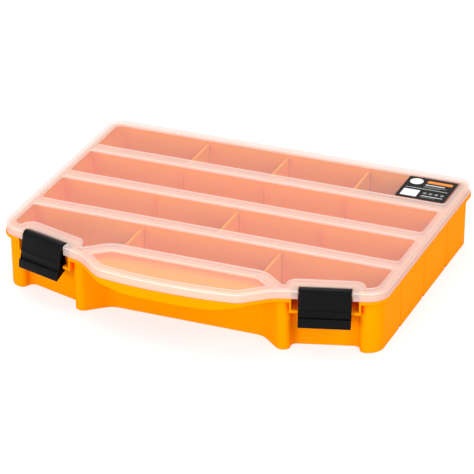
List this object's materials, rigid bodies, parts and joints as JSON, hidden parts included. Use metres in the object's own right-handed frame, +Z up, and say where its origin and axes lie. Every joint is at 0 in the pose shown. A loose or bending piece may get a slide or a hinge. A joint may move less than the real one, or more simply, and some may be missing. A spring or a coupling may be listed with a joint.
{
  "type": "screw organizer box",
  "caption": "Flat plastic organizer box with a hinged clear lid, snap latches, a front carrying handle, long fixed dividers and cross dividers that lift out.",
  "frame": {"origin": "middle of the whole part's box, on the surface that the box stands on", "axes": "+X to the right along the back hinge, +Y towards the hinge, +Z up"},
  "size_m": [0.25, 0.21, 0.0429],
  "materials": {
    "orange_tray": "moulded orange polypropylene",
    "clear_lid": "moulded clear polypropylene, slightly milky",
    "label_film": "blank black film label",
    "black_latch": "moulded black plastic",
    "orange_divider": "moulded orange polypropylene"
  },
  "bodies": {
    "tray": {"tray": "orange_tray"},
    "lid": {"lid": "clear_lid", "label": "label_film"},
    "latch_left": {"latch_left": "black_latch"},
    "latch_right": {"latch_right": "black_latch"},
    "divider_back_left": {"divider_back_left": "orange_divider"},
    "divider_back_middle": {"divider_back_middle": "orange_divider"},
    "divider_back_right": {"divider_back_right": "orange_divider"},
    "divider_third_row": {"divider_third_row": "orange_divider"},
    "divider_front_left": {"divider_front_left": "orange_divider"},
    "divider_front_right": {"divider_front_right": "orange_divider"}
  },
  "joints": [
    {"name": "lid_hinge", "type": "hinge", "parent": "tray", "child": "lid", "pos_m": [0, 0.10215, 0.0295], "axis": [-1, 0, 0], "range_deg": [0, 180]},
    {"name": "latch_right_hinge", "type": "hinge", "parent": "lid", "child": "latch_right", "pos_m": [0.09089, -0.07608, 0.0397], "axis": [-0.9563, -0.2924, 0], "range_deg": [0, 110]},
    {"name": "latch_left_hinge", "type": "hinge", "parent": "lid", "child": "latch_left", "pos_m": [-0.09089, -0.07608, 0.0397], "axis": [-0.9563, 0.2924, 0], "range_deg": [0, 110]},
    {"name": "divider_back_left_lift", "type": "slide", "parent": "tray", "child": "divider_back_left", "axis": [0, 0, 1], "range_m": [0, 0.038]},
    {"name": "divider_back_middle_lift", "type": "slide", "parent": "tray", "child": "divider_back_middle", "axis": [0, 0, 1], "range_m": [0, 0.038]},
    {"name": "divider_back_right_lift", "type": "slide", "parent": "tray", "child": "divider_back_right", "axis": [0, 0, 1], "range_m": [0, 0.038]},
    {"name": "divider_third_row_lift", "type": "slide", "parent": "tray", "child": "divider_third_row", "axis": [0, 0, 1], "range_m": [0, 0.038]},
    {"name": "divider_front_left_lift", "type": "slide", "parent": "tray", "child": "divider_front_left", "axis": [0, 0, 1], "range_m": [0, 0.038]},
    {"name": "divider_front_right_lift", "type": "slide", "parent": "tray", "child": "divider_front_right", "axis": [0, 0, 1], "range_m": [0, 0.038]}
  ],
  "couplings": [
    {"joint": "divider_back_left_lift", "follows": "lid_hinge", "m_per_rad": 0.012095},
    {"joint": "divider_back_middle_lift", "follows": "lid_hinge", "m_per_rad": 0.012095},
    {"joint": "divider_back_right_lift", "follows": "lid_hinge", "m_per_rad": 0.012095},
    {"joint": "divider_third_row_lift", "follows": "lid_hinge", "m_per_rad": 0.012095},
    {"joint": "divider_front_left_lift", "follows": "lid_hinge", "m_per_rad": 0.012095},
    {"joint": "divider_front_right_lift", "follows": "lid_hinge", "m_per_rad": 0.012095}
  ]
}
